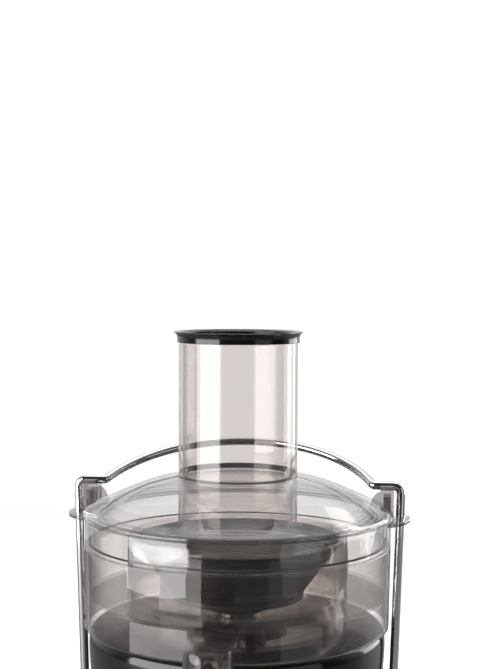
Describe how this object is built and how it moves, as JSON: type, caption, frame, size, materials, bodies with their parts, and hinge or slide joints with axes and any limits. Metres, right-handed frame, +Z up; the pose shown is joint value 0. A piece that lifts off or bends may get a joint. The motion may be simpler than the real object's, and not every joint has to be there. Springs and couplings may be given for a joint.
{
  "type": "centrifugal juicer",
  "caption": "Centrifugal juicer with a wide clear feed tube, clear domed lid, wire locking bail, spinning filter basket, juice spout and rear pulp container.",
  "frame": {"origin": "on the ground, at the middle of the footprint of the juicer with its pulp container; the spindle stands 40.4 mm in front of it", "axes": "+Z up, -Y towards the front with the juice spout and the speed dial, +X the juicer's right as seen from the front"},
  "size_m": [0.236, 0.3938, 0.4057],
  "materials": {
    "smoky_plastic": "clear smoke-tinted moulded plastic",
    "black_gloss": "polished black moulding",
    "black_matte": "fine matt moulding",
    "chrome_wire": "bright plated wire",
    "brushed_steel": "satin, brushed round the axis",
    "mesh_steel": "fine perforated filter, seen dark",
    "blade_steel": "ground steel",
    "core_iron": "stacked laminations",
    "copper": "enamelled copper",
    "grey_rubber": "dark soft rubber",
    "carbon": "pressed carbon",
    "board_green": "printed board"
  },
  "bodies": {
    "base": {"lid": "smoky_plastic", "feed_tube": "smoky_plastic", "lid_clip_right": "smoky_plastic", "lid_clip_left": "smoky_plastic", "lid_tab_right": "smoky_plastic", "lid_tab_left": "smoky_plastic", "bowl": "smoky_plastic", "juice_spout": "smoky_plastic", "pulp_chute": "smoky_plastic", "tube_collar": "black_gloss", "motor_housing": "black_gloss", "bail_boss_right": "black_gloss", "bail_boss_left": "black_gloss", "brush_holder_front": "black_matte", "brush_holder_rear": "black_matte", "base_plate": "black_matte", "rotary_switch": "black_matte", "interlock_switch": "black_matte", "steel_wrap": "brushed_steel", "dial_bezel": "brushed_steel", "bracket_lower": "brushed_steel", "bracket_upper": "brushed_steel", "bearing_lower": "blade_steel", "bearing_upper": "blade_steel", "stator_core": "core_iron", "winding_right": "copper", "winding_left": "copper", "lid_seal": "grey_rubber", "shaft_seal": "grey_rubber", "foot_front_right": "grey_rubber", "foot_front_left": "grey_rubber", "foot_rear_right": "grey_rubber", "foot_rear_left": "grey_rubber", "cord_inlet": "grey_rubber", "brush_front": "carbon", "brush_rear": "carbon", "control_board": "board_green"},
    "spindle": {"motor_shaft": "blade_steel", "rotor_core": "core_iron", "commutator": "copper", "cooling_fan": "black_matte", "drive_coupling": "black_matte", "basket_hub": "black_matte", "cutting_disc": "blade_steel", "basket_nut": "blade_steel", "basket_mesh": "mesh_steel", "basket_rim": "black_gloss"},
    "bail": {"bail": "chrome_wire", "bail_retainer": "blade_steel", "bail_cam": "black_matte"},
    "plunger": {"interlock_plunger": "blade_steel"},
    "dial": {"speed_dial": "black_gloss"},
    "pulp_bin": {"pulp_container": "smoky_plastic", "bin_handle": "black_gloss"}
  },
  "joints": [
    {"name": "spindle_spin", "type": "hinge", "parent": "base", "child": "spindle", "pos_m": [0, -0.0404, 0.1], "axis": [0, 0, 1], "continuous": true},
    {"name": "bail_swing", "type": "hinge", "parent": "base", "child": "bail", "pos_m": [0, -0.0404, 0.15], "axis": [-1, 0, 0], "range_deg": [0, 34]},
    {"name": "plunger_travel", "type": "slide", "parent": "base", "child": "plunger", "axis": [0, 0, -1], "range_m": [0, 0.003]},
    {"name": "dial_turn", "type": "hinge", "parent": "base", "child": "dial", "pos_m": [0, -0.1402, 0.082], "axis": [0, -1, 0], "range_deg": [0, 90]},
    {"name": "bin_slide", "type": "slide", "parent": "base", "child": "pulp_bin", "axis": [0, 1, 0], "range_m": [0, 0.12]}
  ],
  "couplings": [
    {"joint": "plunger_travel", "follows": "bail_swing", "m_per_rad": 0.0050556}
  ]
}
